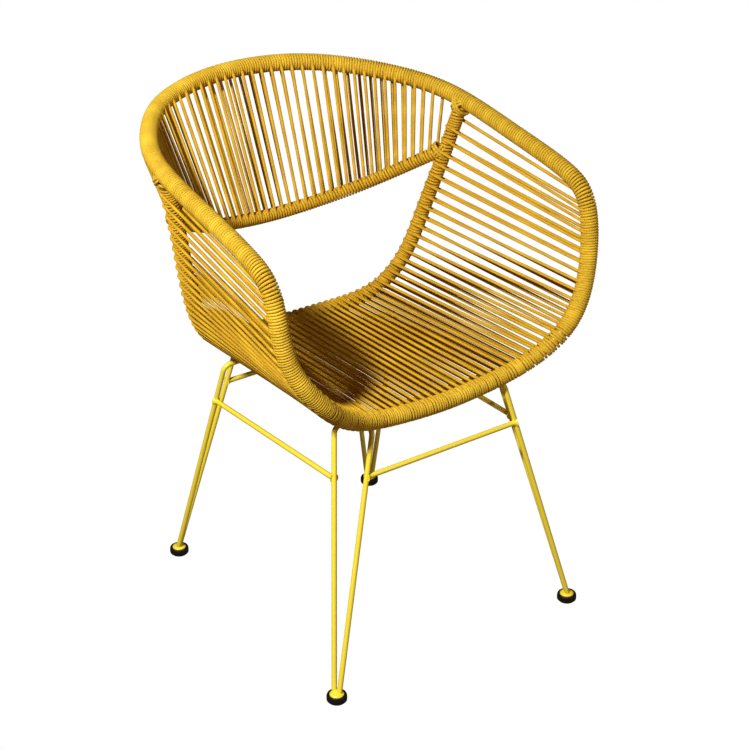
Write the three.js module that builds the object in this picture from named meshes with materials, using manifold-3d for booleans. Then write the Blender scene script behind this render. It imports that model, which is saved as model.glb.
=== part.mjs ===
// A garden armchair: a bent tube frame laced and wound with round cord, on a base of bent wire.
// Millimetres, +Z up. The sitter looks along -Y; left and right are as seen from in front, so right is +X.
import * as THREE from "three";
import { mergeVertices } from "three/addons/utils/BufferGeometryUtils.js";
import Module from "manifold-3d";

const wasm = await Module();
wasm.setup();

// Seat frame: the rim is one closed loop, the hoop hangs from it, and the rail joins the hoop's two posts.
const rimWidth = 572;
const rimDepth = 530;
const rimFrontHeight = 409;
const rimRise = 377;
const rimSetback = 49.5; // behind the middle of the front feet
const rimTube = 18;
const hoopTube = 14;
const railTube = 12;
const hoopDrop = 2; // its lowest point below the rim's front
const hoopSetback = 376; // behind the rim's front
const railRise = 159; // above the rim's front
const railSetback = 436; // behind the rim's front

// Cord, wound on every tube and laced between them
const cord = 4.6;
const cordGap = 0.4; // from a tube to the cord on it
const cordClearance = 0.3; // between two windings that meet
const sideStrands = 62; // in the outer layer, from one end of the hoop to the other
const backStrands = 40; // in the outer layer, along the rail

// Wire base
const rod = 8;
const rodBend = 13;
const frontFeetWidth = 457;
const rearFeetWidth = 398;
const feetDepth = 496;
const frontBarWidth = 308;
const frontBarSetback = 104.5; // behind the front feet
const backBarWidth = 335;
const backBarLead = 117.5; // ahead of the rear feet
const stretcherDrop = 88; // below the rim's front
const frontStretcherDrop = 74.5; // the front one lies higher than the others
const weldGap = 0.3;
const rimPress = 1; // how deep a side frame presses into the rim's cord
const frontBendRise = 3; // how much higher a side frame's front corner lies, so that its bend meets the rim
const rearBendLead = 9; // from where the hoop lies on a side frame to that frame's rear corner

// Feet
const footWidth = 31;
const footHeight = 11;
const soleWidth = 25;
const footEdge = 3.5;
const cupWidth = 22.5;
const cupHeight = 5;
const cupTopWidth = 18;

// Sides and steps of the tubes
const tubeSides = 8;
const rodSides = 8;
const strandSides = 4;
const rimSteps = 84;
const hoopSteps = 40;
const railSteps = 20;
const bendSteps = 5;
const footSides = 16;

// Half of the rim from its front's middle to its back's, as shares of half its width, its depth and its rise
const rimShares = [
  [0, -0.005, 0],
  [0.285, 0.015, -0.005],
  [0.565, -0.005, 0.04],
  [0.805, -0.06, 0.19],
  [0.985, -0.01, 0.375],
  [0.995, 0.005, 0.675],
  [1.005, 0.1, 0.75],
  [0.985, 0.35, 0.82],
  [0.98, 0.605, 0.895],
  [0.85, 0.755, 0.935],
  [0.625, 0.915, 0.965],
  [0.315, 0.975, 1],
  [0, 1.01, 1],
];

// Half of the hoop from its end on the rim to its bottom's middle, as shares of the way between those two
const hoopShares = [
  [0, 0, 0],
  [0.09, 0.13, 0.25],
  [0.18, 0.45, 0.545],
  [0.255, 0.62, 0.78],
  [0.39, 0.89, 0.95],
  [0.57, 0.99, 1],
  [0.785, 1, 1],
  [1, 1, 1],
];

// Half of the rail from its end on the hoop to its middle, in the same way
const railShares = [
  [0, 0, 0],
  [0.21, 0.465, 0.45],
  [0.45, 0.765, 0.77],
  [0.72, 0.96, 0.955],
  [1, 1.02, 1.025],
];

// Places along a curve, as shares of its length.
// The rim's run from its front's middle, and the others' from the right end.
const hoopOnRimShare = 0.327;
const railOnHoopShare = 0.082;
const armBendOnRimShare = 0.196; // where the lacing begins below the arm
const backLacingOnRimShare = 0.343; // where the lacing of the back begins
const sideBarOnRimShare = 0.0525;
const sideBarOnHoopShare = 0.398;
const hoopLacingShare = 0.025; // of the hoop left bare of strands at each end
const railLacingShare = 0.02;
const frontSpreadShare = 0.12; // how much wider the strands lie at the front's middle than at the arms
const seatStrandsShare = 0.36; // of the strands that make the seat, between the two sides
const panelEndShare = 0.25; // of a strand's step, from a panel's end to its first inner strand
const leastStepShare = 0.15; // of a tube's step, so that no step is a sliver

// A uniform cubic B-spline, closed or with its ends on the first and last control points.
class Spline extends THREE.Curve {
  constructor(controls, closed) {
    super();
    this.arcLengthDivisions = 960;
    this.closed = closed;
    this.controls = controls;
  }

  control(i) {
    const count = this.controls.length;
    const last = count - 1;
    if (this.closed) return this.controls[(i + count) % count];
    if (i < 0) return this.controls[0].clone().multiplyScalar(2).sub(this.controls[1]);
    if (i > last) return this.controls[last].clone().multiplyScalar(2).sub(this.controls[last - 1]);
    return this.controls[i];
  }

  getPoint(t, target = new THREE.Vector3()) {
    const spans = this.closed ? this.controls.length : this.controls.length - 1;
    const place = t * spans;
    const i = Math.min(Math.floor(place), spans - 1);
    const u = place - i;
    const weights = [
      (1 - u) ** 3,
      3 * u ** 3 - 6 * u ** 2 + 4,
      -3 * u ** 3 + 3 * u ** 2 + 3 * u + 1,
      u ** 3,
    ];
    target.set(0, 0, 0);
    weights.forEach((weight, k) => target.addScaledVector(this.control(i + k - 1), weight / 6));
    return target;
  }
}

const mirrored = (point) => new THREE.Vector3(-point.x, point.y, point.z);

// The half that is given, then its mirror image, with the middle points once.
function bothHalves(half, closed) {
  const other = half.slice(closed ? 1 : 0, -1).reverse().map(mirrored);
  return [...half, ...other];
}

// A point on a closed curve, where a negative share runs the other way.
const onLoop = (curve, share) => curve.getPointAt((share + 1) % 1);
const alongLoop = (curve, share) => curve.getTangentAt((share + 1) % 1);

// Rings carry a cross-section along a line of points without twisting it.
function ringsAlong(points, closed = false) {
  const count = points.length;
  const pick = (i) => points[closed ? (i + count) % count : Math.min(Math.max(i, 0), count - 1)];
  const square = (side, along) => side.clone().addScaledVector(along, -side.dot(along)).normalize();
  const along = points.map((_, i) => pick(i + 1).clone().sub(pick(i - 1)).normalize());
  const steep = Math.abs(along[0].z) > Math.abs(along[0].y);
  let side = square(steep ? new THREE.Vector3(0, 1, 0) : new THREE.Vector3(0, 0, 1), along[0]);
  const sides = along.map((direction) => (side = square(side, direction)));
  const home = square(side, along[0]);
  const twist = closed ? Math.atan2(home.clone().cross(sides[0]).dot(along[0]), home.dot(sides[0])) : 0;
  return points.map((point, i) => {
    const turned = sides[i].clone().applyAxisAngle(along[i], (twist * i) / count);
    return { point, along: along[i], side: turned, up: along[i].clone().cross(turned) };
  });
}

// One closed geometry of a round section carried by the rings. A bore makes it a sleeve.
function tubeGeometry(rings, radius, sides, { closed = false, bore = 0 } = {}) {
  const positions = [];
  const faces = [];
  const radii = bore ? [radius, bore] : [radius];
  const perRing = sides * radii.length;
  for (const { point, side, up } of rings)
    for (const r of radii)
      for (let k = 0; k < sides; k++) {
        const angle = (2 * Math.PI * k) / sides;
        const corner = point
          .clone()
          .addScaledVector(side, r * Math.cos(angle))
          .addScaledVector(up, r * Math.sin(angle));
        positions.push(corner.x, corner.y, corner.z);
      }
  const quad = (a, b, c, d) => faces.push(a, b, c, a, c, d);
  const spans = closed ? rings.length : rings.length - 1;
  for (let i = 0; i < spans; i++) {
    const here = i * perRing;
    const next = ((i + 1) % rings.length) * perRing;
    for (let k = 0; k < sides; k++) {
      const l = (k + 1) % sides;
      quad(here + k, here + l, next + l, next + k);
      if (bore) quad(here + sides + l, here + sides + k, next + sides + k, next + sides + l);
    }
  }
  if (!closed) {
    const end = (rings.length - 1) * perRing;
    for (let k = 0; k < sides; k++) {
      const l = (k + 1) % sides;
      if (bore) {
        quad(l, k, sides + k, sides + l);
        quad(end + k, end + l, end + sides + l, end + sides + k);
      } else if (k && l) {
        faces.push(0, l, k);
        faces.push(end, end + k, end + l);
      }
    }
  }
  const geometry = new THREE.BufferGeometry();
  geometry.setAttribute("position", new THREE.Float32BufferAttribute(positions, 3));
  geometry.setIndex(faces);
  return geometry;
}

function toSolid(geometry) {
  const bare = geometry.clone();
  bare.deleteAttribute("normal");
  bare.deleteAttribute("uv");
  const merged = mergeVertices(bare);
  return new wasm.Manifold(
    new wasm.Mesh({
      numProp: 3,
      vertProperties: merged.attributes.position.array,
      triVerts: new Uint32Array(merged.index.array),
    }),
  );
}

function toGeometry(solid) {
  const { numProp, vertProperties, triVerts } = solid.getMesh();
  const geometry = new THREE.BufferGeometry();
  geometry.setAttribute("position", new THREE.BufferAttribute(vertProperties, numProp));
  geometry.setIndex(new THREE.BufferAttribute(triVerts, 1));
  return geometry.toNonIndexed();
}

const tubeSolid = (rings, radius, sides, options) => toSolid(tubeGeometry(rings, radius, sides, options));
const joined = (solids) => solids.reduce((whole, solid) => whole.add(solid));
const cutBy = (solid, cutters) => cutters.reduce((left, cutter) => left.subtract(cutter), solid);

// Seat frame curves
const rimFront = -feetDepth / 2 + rimSetback;
const rimCurve = new Spline(
  bothHalves(
    rimShares.map(
      ([x, y, z]) =>
        new THREE.Vector3((x * rimWidth) / 2, rimFront + y * rimDepth, rimFrontHeight + z * rimRise),
    ),
    true,
  ),
  true,
);

// The points of half a curve, by the shares of the way from its end to its middle.
const between = (start, middle, shares) =>
  shares.map(
    ([x, y, z]) =>
      new THREE.Vector3(
        start.x + x * (middle.x - start.x),
        start.y + y * (middle.y - start.y),
        start.z + z * (middle.z - start.z),
      ),
  );

const hoopStart = onLoop(rimCurve, hoopOnRimShare);
const hoopMiddle = new THREE.Vector3(0, rimFront + hoopSetback, rimFrontHeight - hoopDrop);
const hoopCurve = new Spline(bothHalves(between(hoopStart, hoopMiddle, hoopShares), false), false);

const railStart = hoopCurve.getPointAt(railOnHoopShare);
const railMiddle = new THREE.Vector3(0, rimFront + railSetback, rimFrontHeight + railRise);
const railCurve = new Spline(bothHalves(between(railStart, railMiddle, railShares), false), false);

const rimRings = ringsAlong(rimCurve.getSpacedPoints(rimSteps).slice(0, -1), true);
const hoopRings = ringsAlong(hoopCurve.getSpacedPoints(hoopSteps));
const railRings = ringsAlong(railCurve.getSpacedPoints(railSteps));

// The rings from one share of a curve to another, with rings of their own at both ends.
// On a loop a share may be negative.
function ringsBetween(rings, from, to, closed = false) {
  const spans = closed ? rings.length : rings.length - 1;
  const nth = (i) => rings[(i + rings.length) % rings.length];
  const places = [from * spans];
  for (let i = Math.floor(from * spans) + 1; i < to * spans; i++)
    if (i - from * spans > leastStepShare && to * spans - i > leastStepShare) places.push(i);
  places.push(to * spans);
  return places.map((place) => {
    const i = Math.floor(place);
    const mix = (key) => nth(i)[key].clone().lerp(nth(i + 1)[key], place - i);
    return { point: mix("point"), along: mix("along").normalize(), side: mix("side"), up: mix("up") };
  });
}

// The same rings with both ends drawn in by half a gap, so that two sleeves end to end stay apart.
function drawnIn(rings) {
  const first = rings[0];
  const last = rings.at(-1);
  first.point = first.point.clone().addScaledVector(first.along, cordClearance / 2);
  last.point = last.point.clone().addScaledVector(last.along, -cordClearance / 2);
  return rings;
}

const outerRadius = (tube) => tube / 2 + cordGap + cord;
const sleeve = (rings, tube) => tubeSolid(rings, outerRadius(tube), tubeSides, { bore: tube / 2 + cordGap });
const strandOffset = (tube) => tube / 2 + cordGap + cord / 2;

// Base: where the side bars touch the seat frame sets the height of every bar
const drop = (tangent, distance) => {
  const flat = new THREE.Vector3(0, 1, 0);
  const away = tangent.clone().cross(flat).normalize();
  return away.multiplyScalar(away.z > 0 ? -distance : distance);
};
const rimTouch = rimCurve.getPointAt(sideBarOnRimShare);
const hoopTouch = hoopCurve.getPointAt(sideBarOnHoopShare);
const underRim = drop(rimCurve.getTangentAt(sideBarOnRimShare), outerRadius(rimTube) + rod / 2 - rimPress);
const underHoop = drop(hoopCurve.getTangentAt(sideBarOnHoopShare), hoopTube / 2 + rod / 2 + weldGap);
const sideBarFront = rimTouch.clone().add(underRim).add(new THREE.Vector3(0, 0, frontBendRise));
const sideBarRear = hoopTouch.clone().add(underHoop).add(new THREE.Vector3(0, rearBendLead, 0));
const sideBarHeight = (y) =>
  THREE.MathUtils.lerp(
    sideBarFront.z,
    sideBarRear.z,
    (y - sideBarFront.y) / (sideBarRear.y - sideBarFront.y),
  );
const frontBarY = -feetDepth / 2 + frontBarSetback;
const backBarY = feetDepth / 2 - backBarLead;
const underSideBar = (y) => sideBarHeight(y) - rod - weldGap;

// Each foot is shared by the ends of two rods, which stand side by side in its cup.
const rodStart = footHeight + weldGap + cupHeight / 2;
const corners = {
  front_left: new THREE.Vector3(-frontBarWidth / 2, frontBarY, underSideBar(frontBarY)),
  front_right: new THREE.Vector3(frontBarWidth / 2, frontBarY, underSideBar(frontBarY)),
  back_left: new THREE.Vector3(-backBarWidth / 2, backBarY, underSideBar(backBarY)),
  back_right: new THREE.Vector3(backBarWidth / 2, backBarY, underSideBar(backBarY)),
  left_front: mirrored(sideBarFront),
  left_rear: mirrored(sideBarRear),
  right_front: sideBarFront,
  right_rear: sideBarRear,
};
const feet = {
  front_left: new THREE.Vector3(-frontFeetWidth / 2, -feetDepth / 2, 0),
  front_right: new THREE.Vector3(frontFeetWidth / 2, -feetDepth / 2, 0),
  rear_left: new THREE.Vector3(-rearFeetWidth / 2, feetDepth / 2, 0),
  rear_right: new THREE.Vector3(rearFeetWidth / 2, feetDepth / 2, 0),
};

// The lower end of a rod, half a rod to its own side of the foot's middle.
function rodEnd(foot, corner, otherCorner) {
  const apart = corner.clone().sub(otherCorner).setZ(0).normalize();
  return foot
    .clone()
    .setZ(rodStart)
    .addScaledVector(apart, (rod + weldGap) / 2);
}

// The four points that one bent rod goes through: end, corner, corner, end.
const rodRoutes = {
  front_frame: [
    rodEnd(feet.front_left, corners.front_left, corners.left_front),
    corners.front_left,
    corners.front_right,
    rodEnd(feet.front_right, corners.front_right, corners.right_front),
  ],
  back_frame: [
    rodEnd(feet.rear_left, corners.back_left, corners.left_rear),
    corners.back_left,
    corners.back_right,
    rodEnd(feet.rear_right, corners.back_right, corners.right_rear),
  ],
  left_frame: [
    rodEnd(feet.front_left, corners.left_front, corners.front_left),
    corners.left_front,
    corners.left_rear,
    rodEnd(feet.rear_left, corners.left_rear, corners.back_left),
  ],
  right_frame: [
    rodEnd(feet.front_right, corners.right_front, corners.front_right),
    corners.right_front,
    corners.right_rear,
    rodEnd(feet.rear_right, corners.right_rear, corners.back_right),
  ],
};

// A straight run through the points, with each corner rounded by an arc of the rod's bend.
function bentLine([start, ...rest]) {
  const points = [start];
  const end = rest.pop();
  rest.forEach((corner, i) => {
    const toPrevious = (i ? rest[i - 1] : start).clone().sub(corner).normalize();
    const toNext = (rest[i + 1] ?? end).clone().sub(corner).normalize();
    const half = toPrevious.angleTo(toNext) / 2;
    const middle = toPrevious.clone().add(toNext).normalize();
    const centre = corner.clone().addScaledVector(middle, rodBend / Math.sin(half));
    const axis = toPrevious.clone().cross(toNext).normalize();
    const spoke = corner.clone().addScaledVector(toPrevious, rodBend / Math.tan(half)).sub(centre);
    const turn = Math.PI - 2 * half;
    for (let k = 0; k <= bendSteps; k++)
      points.push(spoke.clone().applyAxisAngle(axis, (-turn * k) / bendSteps).add(centre));
  });
  return [...points, end];
}

const rodSolid = (points, extra = 0) => tubeSolid(ringsAlong(points), rod / 2 + extra, rodSides);

// A turned solid on a foot's middle. Its outline runs from the axis out and back to the axis.
function turned(outline, place) {
  const geometry = new THREE.LatheGeometry(
    outline.map(([radius, height]) => new THREE.Vector2(radius, height)),
    footSides,
  );
  geometry.rotateX(Math.PI / 2);
  geometry.translate(place.x, place.y, 0);
  return toSolid(geometry);
}

const cupBase = footHeight + weldGap;
const footOutline = [
  [0, 0],
  [soleWidth / 2, 0],
  [footWidth / 2, footEdge],
  [footWidth / 2, footHeight - footEdge],
  [cupWidth / 2, footHeight],
  [0, footHeight],
];
const cupOutline = (extra) => [
  [0, cupBase - extra],
  [cupWidth / 2 + extra, cupBase - extra],
  [cupWidth / 2 + extra, cupBase + cupHeight / 2],
  [cupTopWidth / 2 + extra, cupBase + cupHeight + extra],
  [0, cupBase + cupHeight + extra],
];

// A strand leaves the cord of one tube along a tangent and ends where it meets the cord on the rim.
// The layer is +1 on the outer and lower face of both tubes, and -1 on the inner and upper one.
function strandSolid(here, there, layer, extra = 0) {
  const run = there.point.clone().sub(here.point).normalize();
  const onFace = ({ point, along, tube }) => {
    const out = run.clone().cross(along).normalize();
    return point.clone().addScaledVector(out, layer * strandOffset(tube));
  };
  const start = onFace(here);
  const end = onFace(there);
  const short = Math.sqrt((outerRadius(there.tube) + cordClearance) ** 2 - (there.tube / 2 + cordGap) ** 2);
  const crossing = there.along.clone().cross(run).length();
  const back = start.clone().sub(end).normalize();
  end.addScaledVector(back, short / crossing);
  return tubeSolid(ringsAlong([start, end]), cord / 2 + extra, strandSides);
}

// Where strand number k of the side and seat lacing lies on the hoop and on the rim.
const hoopShareOfStrand = (k) => THREE.MathUtils.lerp(hoopLacingShare, 1 - hoopLacingShare, k / sideStrands);
function rimShareOfStrand(k) {
  const v = 1 - (2 * k) / sideStrands;
  return armBendOnRimShare * v * (1 + frontSpreadShare * (1 - v * v));
}

// The two layers lie half a step apart: whole numbers are inner strands, and the ones between are outer.
function strandNumbers(count, from = 0, to = count) {
  const numbers = [];
  for (let half = 1; half < 2 * count; half++)
    if (half >= 2 * from && half <= 2 * to) numbers.push(half / 2);
  return numbers.map((k) => ({ k, layer: Number.isInteger(k) ? -1 : 1 }));
}

const sideStrandSolids = (from, to, extra = 0) =>
  strandNumbers(sideStrands, from, to).map(({ k, layer }) => {
    const onHoop = hoopShareOfStrand(k);
    const onRim = rimShareOfStrand(k);
    return strandSolid(
      { point: hoopCurve.getPointAt(onHoop), along: hoopCurve.getTangentAt(onHoop), tube: hoopTube },
      { point: onLoop(rimCurve, onRim), along: alongLoop(rimCurve, onRim).negate(), tube: rimTube },
      layer,
      extra,
    );
  });

const backStrandSolids = () =>
  strandNumbers(backStrands).map(({ k, layer }) => {
    const onRail = THREE.MathUtils.lerp(railLacingShare, 1 - railLacingShare, k / backStrands);
    const onRim = THREE.MathUtils.lerp(backLacingOnRimShare, 1 - backLacingOnRimShare, k / backStrands);
    return strandSolid(
      { point: railCurve.getPointAt(onRail), along: railCurve.getTangentAt(onRail).negate(), tube: railTube },
      { point: rimCurve.getPointAt(onRim), along: rimCurve.getTangentAt(onRim).negate(), tube: rimTube },
      layer,
    );
  });

// Materials
const cordFinish = (color) => new THREE.MeshStandardMaterial({ color, roughness: 0.8, metalness: 0 });
const finishes = {
  lacing: () => cordFinish(0xd7a52c),
  winding: () => cordFinish(0xe0ad30),
  tube: () => new THREE.MeshStandardMaterial({ color: 0x8c8f92, roughness: 0.5, metalness: 0.8 }),
  rod: () => new THREE.MeshStandardMaterial({ color: 0xf2dc28, roughness: 0.35, metalness: 0.1 }),
  rubber: () => new THREE.MeshStandardMaterial({ color: 0x141414, roughness: 0.6, metalness: 0 }),
};

const chair = new THREE.Group();

function addPiece(name, solid, finish) {
  const piece = new THREE.Mesh(toGeometry(solid), finishes[finish]());
  piece.name = name;
  chair.add(piece);
}

// Tubes: the hoop is butted on the rim and the rail on the hoop, with the cut of a weld between them
const rimSolid = tubeSolid(rimRings, rimTube / 2, tubeSides, { closed: true });
const hoopSolid = tubeSolid(hoopRings, hoopTube / 2, tubeSides);
const railSolid = tubeSolid(railRings, railTube / 2, tubeSides);
const rimCut = tubeSolid(rimRings, rimTube / 2 + weldGap, tubeSides, { closed: true });
const hoopCut = tubeSolid(hoopRings, hoopTube / 2 + weldGap, tubeSides);
const railCut = tubeSolid(railRings, railTube / 2 + weldGap, tubeSides);

addPiece("rim_tube", rimSolid, "tube");
addPiece("rear_hoop_tube", cutBy(hoopSolid, [rimCut]), "tube");
addPiece("back_rail_tube", cutBy(railSolid, [hoopCut]), "tube");

// Windings and lacing. A winding that meets another tube's is cut to fit round it.
const rimSleeveCut = tubeSolid(rimRings, outerRadius(rimTube) + cordClearance, tubeSides, { closed: true });
const aroundFlats = 1 / Math.cos(Math.PI / tubeSides);
const hoopSleeveCut = tubeSolid(
  hoopRings,
  (outerRadius(hoopTube) + cordClearance) * aroundFlats,
  tubeSides,
);
const rodCuts = Object.values(rodRoutes).map((route) => rodSolid(bentLine(route), weldGap));
const seatFrom = Math.round((sideStrands * (1 - seatStrandsShare)) / 2) - panelEndShare;
const seatTo = sideStrands - seatFrom;

function lacedPanel(from, to) {
  const hoopFrom = from ? hoopShareOfStrand(from) : 0;
  const hoopTo = to < sideStrands ? hoopShareOfStrand(to) : 1;
  const winding = sleeve(drawnIn(ringsBetween(hoopRings, hoopFrom, hoopTo)), hoopTube);
  const laced = joined([winding, ...sideStrandSolids(from, to)]);
  const neighbours = [
    ...sideStrandSolids(from - 1 / 2, from, cordClearance),
    ...sideStrandSolids(to, to + 1 / 2, cordClearance),
  ];
  return cutBy(laced, [rimSleeveCut, hoopCut, railCut, ...rodCuts, ...neighbours]);
}

addPiece("lacing_right", lacedPanel(0, seatFrom), "lacing");
addPiece("lacing_seat", lacedPanel(seatFrom, seatTo), "lacing");
addPiece("lacing_left", lacedPanel(seatTo, sideStrands), "lacing");

const lacedBack = joined([sleeve(railRings, railTube), ...backStrandSolids()]);
addPiece("lacing_back", cutBy(lacedBack, [hoopSleeveCut, rimSleeveCut, railCut]), "lacing");

for (const [name, from, to] of [
  ["rim_winding_front", -armBendOnRimShare, armBendOnRimShare],
  ["rim_winding_back", hoopOnRimShare, 1 - hoopOnRimShare],
  ["arm_winding_right", armBendOnRimShare, hoopOnRimShare],
  ["arm_winding_left", 1 - hoopOnRimShare, 1 - armBendOnRimShare],
])
  addPiece(
    name,
    cutBy(sleeve(drawnIn(ringsBetween(rimRings, from, to, true)), rimTube), [hoopCut, ...rodCuts]),
    "winding",
  );

// Base rods, each cut where its ends stand on the cups
const cupCuts = Object.values(feet).map((foot) => turned(cupOutline(weldGap), foot));
for (const [name, route] of Object.entries(rodRoutes))
  addPiece(name, cutBy(rodSolid(bentLine(route)), cupCuts), "rod");

// Where a leg is at a height.
function onLeg([start, corner], height) {
  return start.clone().lerp(corner, (height - start.z) / (corner.z - start.z));
}
const legs = {
  front: (route) => [route[0], route[1]],
  rear: (route) => [route[3], route[2]],
};
const { front, rear } = legs;
const stretcherHeight = rimFrontHeight - stretcherDrop;
const frontStretcherHeight = rimFrontHeight - frontStretcherDrop;
const stretchers = [
  ["left_stretcher", stretcherHeight, front(rodRoutes.front_frame), front(rodRoutes.back_frame)],
  ["right_stretcher", stretcherHeight, rear(rodRoutes.front_frame), rear(rodRoutes.back_frame)],
  ["front_stretcher", frontStretcherHeight, front(rodRoutes.left_frame), front(rodRoutes.right_frame)],
  ["rear_stretcher", stretcherHeight, rear(rodRoutes.left_frame), rear(rodRoutes.right_frame)],
];
for (const [name, height, from, to] of stretchers) {
  const bar = rodSolid([onLeg(from, height), onLeg(to, height)]);
  addPiece(name, cutBy(bar, rodCuts), "rod");
}

for (const [name, place] of Object.entries(feet)) {
  addPiece("foot_cup_" + name, turned(cupOutline(0), place), "rod");
  addPiece("rubber_foot_" + name, turned(footOutline, place), "rubber");
}

// The origin is on the ground, under the middle of the chair's outline
const outline = new THREE.Box3().setFromObject(chair);
const middle = outline.getCenter(new THREE.Vector3());
chair.position.set(-middle.x, -middle.y, -outline.min.z);

export default chair;
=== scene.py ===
# %% [markdown]
# # A garden armchair laced with cord
# The chair has three kinds of parts. Bent steel tubes make the seat frame, a round cord is wound on
# every tube and laced between them, and a base of bent wire rods carries it all on four rubber feet.
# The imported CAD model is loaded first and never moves. Each new piece is built in its place, in metres.

# %% Load the frame
import math
import random

import bmesh
import bpy
import numpy as np
from mathutils import Matrix, Vector


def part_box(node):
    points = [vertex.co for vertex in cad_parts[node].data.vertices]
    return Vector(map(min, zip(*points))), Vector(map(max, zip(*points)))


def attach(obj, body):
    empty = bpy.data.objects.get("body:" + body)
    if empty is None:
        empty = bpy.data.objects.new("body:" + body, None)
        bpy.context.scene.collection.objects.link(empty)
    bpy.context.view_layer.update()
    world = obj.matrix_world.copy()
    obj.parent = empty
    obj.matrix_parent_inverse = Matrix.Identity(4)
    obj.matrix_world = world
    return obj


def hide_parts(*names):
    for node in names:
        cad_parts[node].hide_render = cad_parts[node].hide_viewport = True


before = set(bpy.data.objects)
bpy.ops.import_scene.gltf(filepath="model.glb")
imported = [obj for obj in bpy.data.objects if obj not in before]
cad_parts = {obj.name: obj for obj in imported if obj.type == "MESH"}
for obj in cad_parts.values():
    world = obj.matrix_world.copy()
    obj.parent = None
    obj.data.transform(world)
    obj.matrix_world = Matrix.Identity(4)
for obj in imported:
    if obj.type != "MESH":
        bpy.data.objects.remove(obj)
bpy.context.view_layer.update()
chance = random.Random(7)


# %% [markdown]
# ## The lines of the tubes
# A bent tube is a line with a round section. The line is a cubic B-spline, which is how a smooth bend
# is drawn from a few control points. The points are written as shares of the frame's own sizes, as a
# designer would, so the chair can be made wider or deeper with one number. The feet say where the
# frame's middle is.

# %% Seat frame sizes
def foot_middle(name):
    low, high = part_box("rubber_foot_" + name)
    return (low + high) / 2


feet = {name: foot_middle(name) for name in ("front_left", "front_right", "rear_left", "rear_right")}
front_feet_y = feet["front_left"].y
rear_feet_y = feet["rear_left"].y

rim_width, rim_depth, rim_rise = 0.572, 0.530, 0.377
rim_front_y = front_feet_y + 0.0495
rim_front_height = 0.409
hoop_bottom_y, hoop_bottom_height = rim_front_y + 0.376, rim_front_height - 0.002
rail_y, rail_height = rim_front_y + 0.436, rim_front_height + 0.159
rim_tube, hoop_tube, rail_tube = 0.018, 0.014, 0.012
print("feet from", round(front_feet_y, 4), "to", round(rear_feet_y, 4))

# %% Seat frame outlines
rim_shares = [
    (0, -0.005, 0),
    (0.285, 0.015, -0.005),
    (0.565, -0.005, 0.04),
    (0.805, -0.06, 0.19),
    (0.985, -0.01, 0.375),
    (0.995, 0.005, 0.675),
    (1.005, 0.1, 0.75),
    (0.985, 0.35, 0.82),
    (0.98, 0.605, 0.895),
    (0.85, 0.755, 0.935),
    (0.625, 0.915, 0.965),
    (0.315, 0.975, 1),
    (0, 1.01, 1),
]
hoop_shares = [
    (0, 0, 0),
    (0.09, 0.13, 0.25),
    (0.18, 0.45, 0.545),
    (0.255, 0.62, 0.78),
    (0.39, 0.89, 0.95),
    (0.57, 0.99, 1),
    (0.785, 1, 1),
    (1, 1, 1),
]
rail_shares = [
    (0, 0, 0),
    (0.21, 0.465, 0.45),
    (0.45, 0.765, 0.77),
    (0.72, 0.96, 0.955),
    (1, 1.02, 1.025),
]

# Places along a tube, as shares of its length
hoop_on_rim_share = 0.327
rail_on_hoop_share = 0.082
arm_bend_share = 0.196
back_lacing_share = 0.343
side_bar_on_rim_share = 0.0525
side_bar_on_hoop_share = 0.398


# %% Tube lines
class TubeLine:
    """The line of a bent tube, with two directions across it that never twist about it."""

    def __init__(self, controls, closed):
        self.closed = closed
        controls = np.array(controls, float)
        if closed:
            padded = np.vstack([controls[-1:], controls, controls[:2]])
        else:
            before = 2 * controls[0] - controls[1]
            after = 2 * controls[-1] - controls[-2]
            padded = np.vstack([before, controls, after])
        spans = len(padded) - 3
        place = np.linspace(0, spans, 60 * spans + 1)
        span = np.minimum(place.astype(int), spans - 1)
        u = (place - span)[:, None]
        weights = [(1 - u) ** 3, 3 * u**3 - 6 * u**2 + 4, -3 * u**3 + 3 * u**2 + 3 * u + 1, u**3]
        self.points = sum(weight * padded[span + k] for k, weight in enumerate(weights)) / 6
        steps = np.linalg.norm(np.diff(self.points, axis=0), axis=1)
        self.lengths = np.concatenate([[0], np.cumsum(steps)])
        self.length = self.lengths[-1]
        self.alongs = self.directions()
        self.sides = self.carried_sides()

    def directions(self):
        if self.closed:
            ring = self.points[:-1]
            along = np.roll(ring, -1, axis=0) - np.roll(ring, 1, axis=0)
            along = np.vstack([along, along[:1]])
        else:
            along = np.gradient(self.points, axis=0)
        return along / np.linalg.norm(along, axis=1)[:, None]

    def carried_sides(self):
        side = np.cross(self.alongs[0], (0, 0, 1))
        sides = []
        for along in self.alongs:
            side = side - along * (side @ along)
            side = side / np.linalg.norm(side)
            sides.append(side)
        sides = np.array(sides)
        if self.closed:
            along = self.alongs[0]
            twist = math.atan2(np.cross(sides[-1], sides[0]) @ along, sides[-1] @ sides[0])
            turn = twist * self.lengths[:, None] / self.length
            sides = np.cos(turn) * sides + np.sin(turn) * np.cross(self.alongs, sides)
        return sides

    def at(self, share):
        """Points, directions and the two directions across, at shares of the length."""
        share = np.asarray(share, float)
        place = (share % 1 if self.closed else share) * self.length
        mix = lambda rows: np.stack([np.interp(place, self.lengths, rows[:, k]) for k in range(3)], -1)
        point, along, side = mix(self.points), mix(self.alongs), mix(self.sides)
        along /= np.linalg.norm(along, axis=-1, keepdims=True)
        side /= np.linalg.norm(side, axis=-1, keepdims=True)
        return point, along, side, np.cross(along, side)


# %% The three tubes
def both_halves(half, closed):
    """All control points of a tube, from those of its right half."""
    mirrored = [(-x, y, z) for x, y, z in half[1 if closed else 0 : -1][::-1]]
    return [*half, *mirrored]


def between(start, middle, shares):
    """Control points as shares of the way from a tube's start to its middle."""
    start, middle = np.array(start), np.array(middle)
    return [tuple(start + np.array(share) * (middle - start)) for share in shares]


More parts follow.
